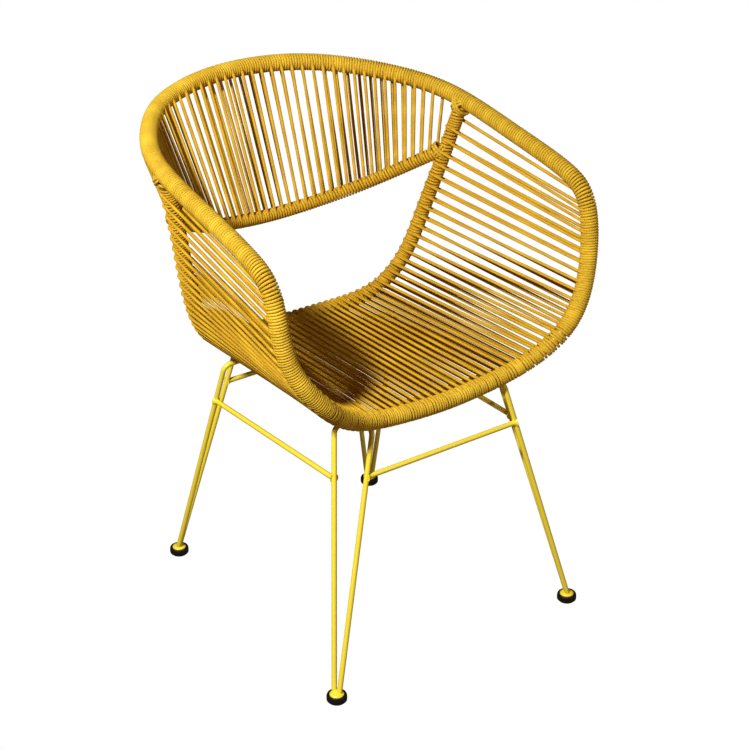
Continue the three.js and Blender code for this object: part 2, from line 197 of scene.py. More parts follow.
rim_half = [
    (x * rim_width / 2, rim_front_y + y * rim_depth, rim_front_height + z * rim_rise)
    for x, y, z in rim_shares
]
rim = TubeLine(both_halves(rim_half, True), True)
hoop_middle = (0, hoop_bottom_y, hoop_bottom_height)
hoop_half = between(rim.at(hoop_on_rim_share)[0], hoop_middle, hoop_shares)
hoop = TubeLine(both_halves(hoop_half, False), False)
rail_half = between(hoop.at(rail_on_hoop_share)[0], (0, rail_y, rail_height), rail_shares)
rail = TubeLine(both_halves(rail_half, False), False)
print("rim", round(rim.length, 3), "hoop", round(hoop.length, 3), "rail", round(rail.length, 3), "m")

# %% [markdown]
# ## Where the strands run
# The side and seat strands run from the hoop to the front part of the rim, and the back's strands from
# the rail to the rim. They lie in two layers, one on the outer face of both tubes and one on the inner
# face. In the back the layers are half a step apart. Below, the strands lie closer in the seat than
# beside it, and the outer ones crowd towards its two corners, so from the front the seat looks closed
# and the sides look open. Everything about a strand follows from its number, which is its place
# counted in steps from the right-hand post or the right-hand end of the rail.

# %% Cord sizes
cord = 0.0046
cord_gap = 0.0004  # between a tube and the cord on it
free_cord = 0.0050  # a strand is a little thicker than a turn
wound_cord = 0.0043  # and this leaves a slit between turns
turn_pitch = 0.0047  # between the middles of two turns


def wound_radius(tube):
    """How far the middle of the cord lies from the tube's line."""
    return tube / 2 + cord_gap + cord / 2


# %% Strands
class Strand:
    """One taut length of cord between two tubes, touching each on its outer or its inner face."""

    def __init__(self, here, there, layer):
        self.ends = []
        first = here["line"].at(here["share"])[0]
        second = there["line"].at(there["share"])[0]
        self.run = (second - first) / np.linalg.norm(second - first)
        for end, away in ((here, self.run), (there, -self.run)):
            point, along, side, up = end["line"].at(end["share"])
            out = np.cross(self.run, along * end["sense"]) * layer
            angle = math.atan2(out @ up, out @ side)
            radial = math.cos(angle) * side + math.sin(angle) * up
            forward = np.cross(along, radial) @ away > 0
            self.ends.append({**end, "angle": angle, "far_side": -1 if forward else 1})

    def touch(self, end, turned=0.0, sunk=0.0):
        """A point of the cord on the tube, some angle round its far side from where it touches."""
        turn = end["far_side"] * turned
        share = end["share"] + turn / (2 * math.pi) * turn_pitch / end["line"].length
        point, _, side, up = end["line"].at(share)
        angle = end["angle"] + turn
        reach = wound_radius(end["tube"]) + end["lift"] - sunk
        return point + reach * (math.cos(angle) * side + math.sin(angle) * up)


inner, outer = -1, 1  # the two layers

# %% Side and seat strands
side_steps = 62
hoop_lacing_share = 0.025
hoop_spread_share, front_spread_share = -0.22, -0.10  # below 0 the steps are shorter in the middle

# How high a strand rides on the turns beside it, and how far round it goes before it has sunk in
lift_on_hoop, lift_on_rim = 0.0030, 0.0006
wrap_on_hoop, wrap_on_rim = math.radians(85), math.radians(48)


def share_on_hoop(k):
    """Where strand k touches the hoop, with v going from -1 at one post to 1 at the other."""
    v = 2 * k / side_steps - 1
    v *= 1 + hoop_spread_share * (1 - v * v)
    return hoop_lacing_share + (1 - 2 * hoop_lacing_share) * (v + 1) / 2


def share_on_rim_front(k):
    """Where strand k touches the rim's front, which has its share 0 in the middle."""
    v = 1 - 2 * k / side_steps
    return arm_bend_share * v * (1 + front_spread_share * (1 - v * v))


def side_strand(k, layer):
    """A strand of the seat or of a side, from the hoop to the rim's front."""
    here = {"line": hoop, "tube": hoop_tube, "share": share_on_hoop(k), "sense": 1}
    there = {"line": rim, "tube": rim_tube, "share": share_on_rim_front(k), "sense": -1}
    here |= {"lift": lift_on_hoop, "wrap": wrap_on_hoop}
    there |= {"lift": lift_on_rim, "wrap": wrap_on_rim}
    return Strand(here, there, layer)


# Steps that an outer strand is pushed back towards the seat's middle, by its number from the middle
pushed_numbers = (6, 9, 11.5, 14, 16.5, 19)
pushed_steps = (0, 0.4, 0.9, 1.5, 2.0, 2.35)
outer_extra = 2  # outer strands more at each end, which the push leaves room for


def outer_place(number):
    """The place of an outer strand, by its number."""
    from_middle = number - side_steps / 2
    pushed = np.interp(abs(from_middle), pushed_numbers, pushed_steps)
    return number - math.copysign(pushed, from_middle)


inner_places = range(1, side_steps)
outer_places = [outer_place(number) for number in range(-outer_extra, side_steps + outer_extra + 1)]
side_lacing = [(k, side_strand(k, inner)) for k in inner_places]
side_lacing += [(k, side_strand(k, outer)) for k in outer_places]
print(len(side_lacing), "side and seat strands")

# %% Back strands
back_steps = 40
rail_lacing_share = 0.02

# On the rim's back an inner strand comes one and a half turns after an outer one,
# and the next outer one two and a half turns later.
back_stagger_share = turn_pitch / 4 / rim.length


def back_strand(k, layer):
    """A strand of the back, from the rail to the rim. It lies flat with the turns beside it."""
    on_rail = rail_lacing_share + (1 - 2 * rail_lacing_share) * k / back_steps
    on_rim = back_lacing_share + (1 - 2 * back_lacing_share) * k / back_steps
    on_rim += layer * back_stagger_share
    flat = {"sense": -1, "lift": 0.0, "wrap": wrap_on_rim}
    here = {"line": rail, "tube": rail_tube, "share": on_rail, **flat}
    there = {"line": rim, "tube": rim_tube, "share": on_rim, **flat}
    return Strand(here, there, layer)


back_lacing = [back_strand(half / 2, outer if half % 2 else inner) for half in range(1, 2 * back_steps)]
print(len(back_lacing), "back strands")


# %% [markdown]
# ## Winding the cord
# On the real chair one cord does everything: it winds round a tube, crosses to the other tube as a
# strand, winds there and comes back. So the turns can't sit just anywhere. Where a strand leaves a
# tube, the winding has to be at the angle at which the strand touches. The angles at all strands are
# collected first, and between two of them the winding makes the number of turns that comes nearest to
# lying close. Where an inner and an outer strand leave at almost the same place, it can meet only one
# of the two.

# %% Windings
least_turn = 1.0  # radians of winding between two strands that it meets
points_per_turn = 18


class Winding:
    """The turns of cord on a tube, as an angle about it for each share of its length."""

    def __init__(self, line, tube, marks):
        self.line = line
        self.tube = tube
        self.shares = [marks[0][0]]
        self.phases = [marks[0][1] or 0.0]
        for share, angle in marks[1:]:
            turned = 2 * math.pi * (share - self.shares[-1]) * line.length / turn_pitch
            phase = self.phases[-1] + turned
            if angle is not None:
                phase += math.remainder(angle - phase, 2 * math.pi)
            if phase - self.phases[-1] >= least_turn:
                self.shares.append(share)
                self.phases.append(phase)

    def points(self, start, stop):
        """The middle of the cord from one share to another."""
        first, last = np.interp((start, stop), self.shares, self.phases)
        count = max(3, math.ceil((last - first) / (2 * math.pi) * points_per_turn))
        phase = np.linspace(first, last, count + 1)
        share = np.interp(phase, self.phases, self.shares)
        point, _, side, up = self.line.at(share)
        radial = np.cos(phase)[:, None] * side + np.sin(phase)[:, None] * up
        return point + wound_radius(self.tube) * radial

    def turns(self):
        return (self.phases[-1] - self.phases[0]) / (2 * math.pi)


def marks_of(strands, end):
    """Where strands touch a tube, in order along it."""
    return sorted((strand.ends[end]["share"], strand.ends[end]["angle"]) for strand in strands)


def hung_winding(line, tube, joint_tube, strands):
    """The winding of a tube that hangs between two places on another one, and starts clear of it."""
    start = (joint_tube / 2 + cord_gap + 0.6 * cord) / line.length
    return Winding(line, tube, [(start, None), *marks_of(strands, 0), (1 - start, None)])


side_strands = [strand for _, strand in side_lacing]
rim_marks = marks_of(side_strands, 1) + marks_of(back_lacing, 1)
first_share, first_angle = rim_marks[0]
rim_winding = Winding(rim, rim_tube, [*rim_marks, (first_share + 1, first_angle)])
hoop_winding = hung_winding(hoop, hoop_tube, rim_tube, side_strands)
rail_winding = hung_winding(rail, rail_tube, hoop_tube, back_lacing)
for name, winding in (("rim", rim_winding), ("hoop", hoop_winding), ("rail", rail_winding)):
    print(name, "has", round(winding.turns()), "turns")


# %% [markdown]
# ## Making a cord
# A Blender curve with a bevel is a swept tube, and the quickest way to a long cord. It becomes a mesh
# so that its UV map can be set: across runs once round the cord, and along is measured in cord
# diameters, so the braid has the same size on every piece.

# %% Cord meshes
def swept_mesh(name, paths, radius, resolution, closed=False, radii=None):
    """A mesh of round section swept along each path, with its UV map measured in diameters."""
    curve = bpy.data.curves.new(name, "CURVE")
    curve.dimensions = "3D"
    curve.bevel_depth = radius
    curve.bevel_resolution = resolution
    curve.use_fill_caps = not closed
    for path in paths:
        spline = curve.splines.new("POLY")
        spline.points.add(len(path) - 1)
        spline.points.foreach_set("co", np.column_stack([path, np.ones(len(path))]).ravel())
        spline.use_cyclic_u = closed
        spline.use_smooth = True
        if radii is not None:
            spline.points.foreach_set("radius", radii)
    sweep = bpy.data.objects.new(name, curve)
    bpy.context.scene.collection.objects.link(sweep)
    mesh = bpy.data.meshes.new_from_object(sweep.evaluated_get(bpy.context.evaluated_depsgraph_get()))
    bpy.data.objects.remove(sweep)
    bpy.data.curves.remove(curve)
    length = sum(np.linalg.norm(np.diff(path, axis=0), axis=1).sum() for path in paths) / len(paths)
    along = mesh.uv_layers[0].data
    values = np.zeros(len(along) * 2)
    along.foreach_get("uv", values)
    values[1::2] *= length / (2 * radius)
    along.foreach_set("uv", values)
    return mesh


def joined_mesh(name, meshes):
    """One mesh of several."""
    work = bmesh.new()
    for mesh in meshes:
        work.from_mesh(mesh)
    whole = bpy.data.meshes.new(name)
    work.to_mesh(whole)
    work.free()
    return whole


def add_piece(name, mesh, slot, material, *nodes):
    """A finished piece, which rides on the chair and stands for its CAD nodes."""
    piece = bpy.data.objects.new(name, mesh)
    bpy.context.scene.collection.objects.link(piece)
    mesh.materials.clear()
    mesh.materials.append(material)
    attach(piece, "root")
    if nodes:
        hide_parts(*nodes)
    return piece


# %% [markdown]
# ## Finishes
# Effects that more than one finish uses are node groups. The cord is a braided sleeve: two sets of
# yarns cross over and under each other, which the UV map turns into a fine diamond relief, with
# painted shade in the gaps between the yarns. Its colour wanders a little along the cord, as dyed yarn
# does. The rods and the feet get a fine grain and uneven gloss.

# %% Node helpers
def new_group(name, inputs, outputs):
    group = bpy.data.node_groups.new(name, "ShaderNodeTree")
    for title, kind, value in inputs:
        socket = group.interface.new_socket(title, in_out="INPUT", socket_type=kind)
        socket.default_value = value
    for title, kind in outputs:
        group.interface.new_socket(title, in_out="OUTPUT", socket_type=kind)
    return group, group.nodes.new("NodeGroupInput"), group.nodes.new("NodeGroupOutput")


def math_node(tree, operation, *values):
    node = tree.nodes.new("ShaderNodeMath")
    node.operation = operation
    for socket, value in zip(node.inputs, values):
        if isinstance(value, bpy.types.NodeSocket):
            tree.links.new(value, socket)
        else:
            socket.default_value = value
    return node.outputs[0]


def mixed_color(tree, factor, first, second):
    node = tree.nodes.new("ShaderNodeMix")
    node.data_type = "RGBA"
    for socket, value in ((node.inputs[0], factor), (node.inputs[6], first), (node.inputs[7], second)):
        if isinstance(value, bpy.types.NodeSocket):
            tree.links.new(value, socket)
        else:
            socket.default_value = value
    return node.outputs[2]


# %% Braid group
def make_braid_group():
    """Height of a braided sleeve from the UV map: yarns in two directions, over and under."""
    group, given, result = new_group(
        "Braid",
        [("Yarns Round", "NodeSocketFloat", 8.0), ("Yarns Along", "NodeSocketFloat", 5.0)],
        [("Height", "NodeSocketFloat")],
    )
    uv = group.nodes.new("ShaderNodeUVMap")
    split = group.nodes.new("ShaderNodeSeparateXYZ")
    group.links.new(uv.outputs[0], split.inputs[0])
    round_it = math_node(group, "MULTIPLY", split.outputs[0], given.outputs["Yarns Round"])
    along_it = math_node(group, "MULTIPLY", split.outputs[1], given.outputs["Yarns Along"])
    heights = []
    for operation in ("ADD", "SUBTRACT"):
        across = math_node(group, operation, round_it, along_it)
        wave = math_node(group, "SINE", math_node(group, "MULTIPLY", across, math.pi))
        heights.append(math_node(group, "ABSOLUTE", wave))
    checks = math_node(group, "SINE", math_node(group, "MULTIPLY", along_it, 2 * math.pi))
    over = math_node(group, "MULTIPLY_ADD", checks, 0.35, 0.5)
    under = math_node(group, "SUBTRACT", 1.0, over)
    first = math_node(group, "MULTIPLY", heights[0], over)
    second = math_node(group, "MULTIPLY", heights[1], under)
    group.links.new(math_node(group, "ADD", first, second), result.inputs["Height"])
    return group


braid_group = make_braid_group()
print("node group", braid_group.name)


# %% Tone group
def make_tone_group():
    """A colour that wanders between two others over the object."""
    group, given, result = new_group(
        "Uneven Tone",
        [
            ("Color", "NodeSocketColor", (1, 1, 1, 1)),
            ("Worn Color", "NodeSocketColor", (0, 0, 0, 1)),
            ("Scale", "NodeSocketFloat", 20.0),
            ("Amount", "NodeSocketFloat", 0.3),
        ],
        [("Color", "NodeSocketColor"), ("Mask", "NodeSocketFloat")],
    )
    place = group.nodes.new("ShaderNodeTexCoord")
    noise = group.nodes.new("ShaderNodeTexNoise")
    noise.inputs["Detail"].default_value = 3
    group.links.new(place.outputs["Object"], noise.inputs["Vector"])
    group.links.new(given.outputs["Scale"], noise.inputs["Scale"])
    mask = math_node(group, "MULTIPLY", noise.outputs[0], given.outputs["Amount"])
    color = mixed_color(group, mask, given.outputs["Color"], given.outputs["Worn Color"])
    group.links.new(color, result.inputs["Color"])
    group.links.new(mask, result.inputs["Mask"])
    return group


tone_group = make_tone_group()
print("node group", tone_group.name)


# %% Grain group
def make_grain_group():
    """Height of a fine grain, such as the skin of powder coat or moulded rubber."""
    group, given, result = new_group(
        "Grain",
        [("Scale", "NodeSocketFloat", 900.0)],
        [("Height", "NodeSocketFloat")],
    )
    place = group.nodes.new("ShaderNodeTexCoord")
    noise = group.nodes.new("ShaderNodeTexNoise")
    noise.inputs["Detail"].default_value = 2
    group.links.new(place.outputs["Object"], noise.inputs["Vector"])
    group.links.new(given.outputs["Scale"], noise.inputs["Scale"])
    group.links.new(noise.outputs[0], result.inputs["Height"])
    return group


grain_group = make_grain_group()
print("node group", grain_group.name)


# %% Materials
def placed(tree, group, **values):
    """A node group in a material, with values for its inputs."""
    node = tree.nodes.new("ShaderNodeGroup")
    node.node_tree = group
    for title, value in values.items():
        node.inputs[title.replace("_", " ")].default_value = value
    return node


def new_material(name, roughness, specular=0.5):
    """A material, its node tree and its Principled shader."""
    material = bpy.data.materials.new(name)
    material.use_nodes = True
    shader = material.node_tree.nodes["Principled BSDF"]
    shader.inputs["Roughness"].default_value = roughness
    shader.inputs["Specular IOR Level"].default_value = specular
    return material, material.node_tree, shader


def add_bump(tree, shader, height, distance, strength):
    """Small relief that only bends the light."""
    bump = tree.nodes.new("ShaderNodeBump")
    bump.inputs["Distance"].default_value = distance
    bump.inputs["Strength"].default_value = strength
    tree.links.new(height, bump.inputs["Height"])
    tree.links.new(bump.outputs[0], shader.inputs["Normal"])


def cord_material(name, color, deep_color):
    """A braided cord, with painted shade in the gaps between its yarns."""
    material, tree, shader = new_material(name, 0.6, 0.22)
    tone = placed(tree, tone_group, Color=color, Worn_Color=deep_color, Scale=14.0, Amount=0.45)
    braid = placed(tree, braid_group, Yarns_Round=8.0, Yarns_Along=3.2)
    # Painted shade: the braid's gaps are darkened towards the deep colour.
    gap = math_node(tree, "SUBTRACT", 1.0, braid.outputs["Height"])
    shade = math_node(tree, "MULTIPLY", gap, 0.35)
    shaded = mixed_color(tree, shade, tone.outputs["Color"], deep_color)
    tree.links.new(shaded, shader.inputs["Base Color"])
    add_bump(tree, shader, braid.outputs["Height"], 0.0003, 0.6)
    return material


def coated_material(name, color, deep_color):
    """Powder coat on steel, with a thin clear coat that makes the highlight crisp."""
    material, tree, shader = new_material(name, 0.34)
    tone = placed(tree, tone_group, Color=color, Worn_Color=deep_color, Scale=9.0, Amount=0.3)
    grain = placed(tree, grain_group, Scale=700.0)
    tree.links.new(tone.outputs["Color"], shader.inputs["Base Color"])
    gloss = math_node(tree, "MULTIPLY_ADD", tone.outputs["Mask"], 0.5, 0.24)
    tree.links.new(gloss, shader.inputs["Roughness"])
    shader.inputs["Coat Weight"].default_value = 0.3
    shader.inputs["Coat Roughness"].default_value = 0.12
    add_bump(tree, shader, grain.outputs["Height"], 0.00008, 0.5)
    return material


def rubber_material(name, color, dusty_color):
    """Moulded rubber, duller where dust has settled."""
    material, tree, shader = new_material(name, 0.55)
    tone = placed(tree, tone_group, Color=color, Worn_Color=dusty_color, Scale=60.0, Amount=0.35)
    grain = placed(tree, grain_group, Scale=1500.0)
    tree.links.new(tone.outputs["Color"], shader.inputs["Base Color"])
    gloss = math_node(tree, "MULTIPLY_ADD", tone.outputs["Mask"], 0.6, 0.4)
    tree.links.new(gloss, shader.inputs["Roughness"])
    add_bump(tree, shader, grain.outputs["Height"], 0.0001, 0.6)
    return material


# Laced and wound cord are one cord: the wound turns are painted lighter and yellower, which is painted
# light.
laced_finish = cord_material("laced cord", (0.80, 0.57, 0.058, 1), (0.50, 0.23, 0.012, 1))
wound_finish = cord_material("wound cord", (0.85, 0.65, 0.080, 1), (0.54, 0.28, 0.015, 1))
frame_coat = coated_material("frame coat", (0.78, 0.52, 0.04, 1), (0.60, 0.36, 0.02, 1))
rod_coat = coated_material("rod coat", (0.93, 0.80, 0.09, 1), (0.88, 0.68, 0.06, 1))
foot_rubber = rubber_material("foot rubber", (0.008, 0.007, 0.008, 1), (0.024, 0.022, 0.022, 1))
print(len(bpy.data.materials), "materials")

# %% [markdown]
# ## The tubes of the seat frame
# They show only in the slits between the turns, but a faceted tube would show as flats there. Round
# ones are swept along the same lines.

# %% Seat frame tubes
tube_resolution = 8


def add_seat_tube(name, line, tube, node):
    """A bent tube, from every third point of its line."""
    points = line.points[:-1] if line.closed else line.points
    mesh = swept_mesh(name, [points[::3]], tube / 2, tube_resolution, line.closed)
    return add_piece(name, mesh, "frame_tube", frame_coat, node)


add_seat_tube("rim_steel", rim, rim_tube, "rim_tube")
add_seat_tube("rear_hoop_steel", hoop, hoop_tube, "rear_hoop_tube")
add_seat_tube("back_rail_steel", rail, rail_tube, "back_rail_tube")
print("three seat frame tubes")

# %% [markdown]
# ## The lacing
# A strand is straight between the tubes. At each end it bends over the tube and sinks in between two
# turns. The corner where the straight part meets the bend is eased by averaging neighbours, which
# leaves the straight part as it is. The hoop's turns go with the strands, in three pieces as in the CAD
# model, and the rail's turns go with the back.

# %% Strand paths
strand_play = 0.0004  # how far a strand may bow to one side
sunk_depth, sinking_power = 0.3 * cord, 1.6
bend_points = 8
near_bend = np.array([0, 0.002, 0.004, 0.007, 0.011])  # places on the straight part, from its end
easing_passes = 3


def eased(path):
    """The path with its corners rounded off."""
    for _ in range(easing_passes):
        path = np.vstack([path[:1], (path[:-2] + 2 * path[1:-1] + path[2:]) / 4, path[-1:]])
    return path


def sinking(end, angle):
    """How far a strand has sunk between the turns after some angle round the tube."""
    return (end["lift"] + sunk_depth) * (angle / end["wrap"]) ** sinking_power


def strand_path(strand):
    """A bend, a straight part and a bend."""
    here, there = strand.ends
    start, end = strand.touch(here), strand.touch(there)
    first_turns = np.linspace(here["wrap"], 0, bend_points)[:-1]
    last_turns = np.linspace(0, there["wrap"], bend_points)[1:]
    first_bend = [strand.touch(here, angle, sinking(here, angle)) for angle in first_turns]
    last_bend = [strand.touch(there, angle, sinking(there, angle)) for angle in last_turns]
    length = np.linalg.norm(end - start)
    near = near_bend / length
    places = np.concatenate([near, np.linspace(0.1, 0.9, 7), 1 - near[::-1]])
    across = np.cross(strand.run, (0, 0, 1))
    across /= np.linalg.norm(across)
    bow = chance.uniform(-strand_play, strand_play) * np.sin(math.pi * places)
    straight = start + places[:, None] * (end - start) + bow[:, None] * across
    return eased(np.vstack([first_bend, straight, last_bend]))


# %% Lacing pieces
cord_resolution = 2
seat_strands_share, panel_end_share = 0.36, 0.25
seat_from = round(side_steps * (1 - seat_strands_share) / 2) - panel_end_share
seat_to = side_steps - seat_from


def add_lacing(name, node, strands, turns):
    """One piece of the laced cord: its strands, and the turns on the tube that they hang from."""
    strand_mesh = swept_mesh(name, [strand_path(s) for s in strands], free_cord / 2, cord_resolution)
    turn_mesh = swept_mesh(name, [turns], wound_cord / 2, cord_resolution)
    mesh = joined_mesh(name, [strand_mesh, turn_mesh])
    print(name, len(strands), "strands,", len(mesh.polygons), "faces")
    return add_piece(name, mesh, "cord_lacing", laced_finish, node)


def add_side_panel(name, node, start, stop):
    """The strands of some range of places below, and the hoop's turns that go with them."""
    strands = [strand for k, strand in side_lacing if start <= k <= stop]
    hoop_from = share_on_hoop(start) if start else hoop_winding.shares[0]
    hoop_to = share_on_hoop(stop) if stop < side_steps else hoop_winding.shares[-1]
    return add_lacing(name, node, strands, hoop_winding.points(hoop_from, hoop_to))


add_side_panel("right_lacing_cord", "lacing_right", 0, seat_from)
add_side_panel("seat_lacing_cord", "lacing_seat", seat_from, seat_to)
add_side_panel("left_lacing_cord", "lacing_left", seat_to, side_steps)
rail_turns = rail_winding.points(rail_winding.shares[0], rail_winding.shares[-1])
add_lacing("back_lacing_cord", "lacing_back", back_lacing, rail_turns)

# %% [markdown]
# ## The windings on the rim
# The rim's winding is one cord too. It is cut in four where the CAD model cuts it, and each cut falls
# on the same turn of both pieces, so the turns run on across it.


# %% Rim windings
def add_rim_winding(name, node, start, stop):
    """The turns from one share of the rim to another, also across the place where its line starts."""
    shares = rim_winding.shares
    while start < shares[0]:
        start, stop = start + 1, stop + 1
    pieces = [(start, min(stop, shares[-1]))]
    if stop > shares[-1]:
        pieces.append((shares[0], stop - 1))
    paths = [rim_winding.points(a, b) for a, b in pieces]
    meshes = [swept_mesh(name, [path], wound_cord / 2, cord_resolution) for path in paths]
    mesh = joined_mesh(name, meshes)
    print(name, len(mesh.polygons), "faces")
    return add_piece(name, mesh, "cord_winding", wound_finish, node)


add_rim_winding("front_rim_cord", "rim_winding_front", -arm_bend_share, arm_bend_share)
add_rim_winding("right_arm_cord", "arm_winding_right", arm_bend_share, hoop_on_rim_share)
add_rim_winding("back_rim_cord", "rim_winding_back", hoop_on_rim_share, 1 - hoop_on_rim_share)
add_rim_winding("left_arm_cord", "arm_winding_left", 1 - hoop_on_rim_share, 1 - arm_bend_share)

# %% [markdown]
# ## Lashings
# Where the hoop hangs from the rim, and the rail from the hoop, the cord crosses over the joint a few
# times before it goes on. Each crossing is a tilted loop, and two pairs of loops make an X on both
# faces. The second pair lies over the first.

# %% Lashings
loop_points = 40
loop_setback = 0.010  # from the joint along the tube that hangs
loop_shift, loop_lift, loop_stretch = 0.52 * cord, 0.45 * cord, 1.04


def lashing_paths(line, end, over, reach):
    """Tilted loops about the joint between the end of a line and a tube of another direction."""
    joint, leaving, _, _ = line.at(end)
    leaving = leaving if end == 0 else -leaving
    side = np.cross(over, leaving)
    side /= np.linalg.norm(side)
    turn = np.linspace(0, 2 * math.pi, loop_points + 1)[:-1, None]
    paths = []
    for tilt, lift in ((1, 0.0), (-1, loop_lift)):
        slanted = leaving + tilt * over
        slanted /= np.linalg.norm(slanted)
        ring = np.cos(turn) * side + loop_stretch * np.sin(turn) * slanted
        for shift in (-loop_shift, loop_shift):
            centre = joint + leaving * loop_setback + np.cross(side, slanted) * shift
            paths.append(centre + (reach + lift) * ring)
    return paths


lashings = []
for end in (0, 1):
    rim_share = abs(end - hoop_on_rim_share)
    hoop_share = abs(end - rail_on_hoop_share)
    lashings += lashing_paths(hoop, end, rim.at(rim_share)[1], wound_radius(rim_tube) + cord / 2)
    lashings += lashing_paths(rail, end, hoop.at(hoop_share)[1], wound_radius(hoop_tube) + cord / 2)
lashing_mesh = swept_mesh("joint_lashings", lashings, cord / 2, cord_resolution, closed=True)
add_piece("joint_lashings", lashing_mesh, "cord_winding", wound_finish)
print("lashings", len(lashings), "loops")

# %% [markdown]
# ## The wire base
# Four rods are each bent twice into a wide staple. Two run from side to side and two from front to
# back on top of them, and each foot is shared by one rod of each pair. Where they touch they are
# welded. The upper two press a little into the cord under the rim's front, as the sitter's weight would
# press them. A sweep along straight runs and arcs gives the bends a true radius.

# %% Base sizes
rod = 0.008
rod_bend = 0.013
front_bar_width, front_bar_setback = 0.308, 0.1045
back_bar_width, back_bar_lead = 0.335, 0.1175
stretcher_height = rim_front_height - 0.088
front_stretcher_height = rim_front_height - 0.0745
weld_gap = 0.0003
rim_press = 0.001
front_bend_rise, rear_bend_lead = 0.003, 0.009
foot_height, cup_height = 0.011, 0.005
cup_width, foot_width, sole_width = 0.0225, 0.031, 0.025


# %% Rod corners
def below(line, share, distance):
    """The point straight across from the tube's line, on its underside."""
    point, along, _, _ = line.at(share)
    away = np.cross(along, (0, 1, 0))
    away /= np.linalg.norm(away)
    return point + away * (-distance if away[2] > 0 else distance)


rim_reach = rim_tube / 2 + cord_gap + cord + rod / 2 - rim_press
hoop_reach = hoop_tube / 2 + rod / 2 + weld_gap
side_front = below(rim, side_bar_on_rim_share, rim_reach) + (0, 0, front_bend_rise)
side_rear = below(hoop, side_bar_on_hoop_share, hoop_reach) + (0, rear_bend_lead, 0)


def under_side_bar(y):
    """How high the middle of a rod lies that is welded to the underside of the side bars."""
    share = (y - side_front[1]) / (side_rear[1] - side_front[1])
    return side_front[2] + share * (side_rear[2] - side_front[2]) - rod - weld_gap


def mirrored_point(point):
    return np.array([-point[0], point[1], point[2]])


front_bar_y = front_feet_y + front_bar_setback
back_bar_y = rear_feet_y - back_bar_lead
front_right = np.array([front_bar_width / 2, front_bar_y, under_side_bar(front_bar_y)])
back_right = np.array([back_bar_width / 2, back_bar_y, under_side_bar(back_bar_y)])
front_left, back_left = mirrored_point(front_right), mirrored_point(back_right)
left_front, left_rear = mirrored_point(side_front), mirrored_point(side_rear)
rod_start = foot_height + weld_gap + cup_height / 2


def rod_end(foot, corner, other_corner):
    """The lower end of a rod, half a rod to its own side of the foot's middle."""
    apart = (corner - other_corner) * (1, 1, 0)
    apart /= np.linalg.norm(apart)
    base = np.array([feet[foot].x, feet[foot].y, rod_start])
    return base + apart * (rod + weld_gap) / 2


def staple(corners, others, ends):
    """Foot end, two corners and foot end of one bent rod."""
    first = rod_end(ends[0], corners[0], others[0])
    last = rod_end(ends[1], corners[1], others[1])
    return [first, *corners, last]


front_corners, back_corners = (front_left, front_right), (back_left, back_right)
left_corners, right_corners = (left_front, left_rear), (side_front, side_rear)
rod_routes = {
    "front_frame": staple(front_corners, (left_front, side_front), ("front_left", "front_right")),
    "back_frame": staple(back_corners, (left_rear, side_rear), ("rear_left", "rear_right")),
    "left_frame": staple(left_corners, (front_left, back_left), ("front_left", "rear_left")),
    "right_frame": staple(right_corners, (front_right, back_right), ("front_right", "rear_right")),
}


# %% Bent rods
def bent_path(points, radius, steps=10):
    """Straight runs through the points, with an arc at each corner."""
    path = [points[0]]
    for before, corner, after in zip(points, points[1:], points[2:]):
        back = (before - corner) / np.linalg.norm(before - corner)
        on = (after - corner) / np.linalg.norm(after - corner)
        half = math.acos(back @ on) / 2
        middle = (back + on) / np.linalg.norm(back + on)
        centre = corner + middle * radius / math.sin(half)
        spoke = Vector(corner + back * radius / math.tan(half) - centre)
        axis = Vector(np.cross(back, on)).normalized()
        turn = math.pi - 2 * half
        for k in range(steps + 1):
            path.append(centre + np.array(Matrix.Rotation(-turn * k / steps, 3, axis) @ spoke))
    path.append(points[-1])
    return np.array(path)


def divided(path, step=0.03):
    """The path with more points in each long run, so that light falls evenly along it."""
    places = [path[0]]
    for a, b in zip(path, path[1:]):
        parts = max(1, round(np.linalg.norm(b - a) / step))
        places += [a + (b - a) * k / parts for k in range(1, parts + 1)]
    return np.array(places)


rod_resolution = 6
for node, route in rod_routes.items():
    path = divided(bent_path(route, rod_bend))
    mesh = swept_mesh(node + "_rod", [path], rod / 2, rod_resolution)
    add_piece(node + "_rod", mesh, "base_rod", rod_coat, node)
print(len(rod_routes), "bent rods")


# %% [markdown]
# ## Stretchers and welds
# Four straight rods join the legs. Each end swells where the weld flows onto the leg, which is one
# sweep with a radius of its own at each point. Where two bars cross, a small bead of weld fills the
# corner between them. A real bead is never quite even, so its points are pushed about a little.

# %% Stretchers
swell_width, swell_reach = 0.9, rod * 1.15


def on_leg(start, corner, height):
    """The place on a leg at some height."""
    return start + (corner - start) * (height - start[2]) / (corner[2] - start[2])


def flared(start, end, width, reach):
    """A straight path from leg to leg, and the radius shares of its swollen ends."""
    length = np.linalg.norm(end - start)
    near = np.array([0, 0.1, 0.25, 0.45, 0.7, 1]) * reach / length
    places = np.concatenate([near, np.linspace(0.1, 0.9, 7), 1 - near[::-1]])
    depth = np.minimum(places, 1 - places) * length / reach
    swell = 1 + width * np.clip(1 - depth, 0, 1) ** 3
    return start + places[:, None] * (end - start), swell


legs_joined = {
    "left_stretcher": ("front_frame", "back_frame", 0, stretcher_height),
    "right_stretcher": ("front_frame", "back_frame", 3, stretcher_height),
    "front_stretcher": ("left_frame", "right_frame", 0, front_stretcher_height),
    "rear_stretcher": ("left_frame", "right_frame", 3, stretcher_height),
}
for node, (first, second, leg, height) in legs_joined.items():
    corner = 1 if leg == 0 else 2
    ends = [on_leg(rod_routes[name][leg], rod_routes[name][corner], height) for name in (first, second)]
    path, swell = flared(*ends, swell_width, swell_reach)
    mesh = swept_mesh(node + "_rod", [path], rod / 2, rod_resolution, radii=swell)
    add_piece(node + "_rod", mesh, "base_rod", rod_coat, node)
print(len(legs_joined), "stretchers")


# %% Weld beads
crossing_bead = (0.0062, 0.0048, 0.0026)
foot_bead = (0.0066, 0.0052, 0.0030)


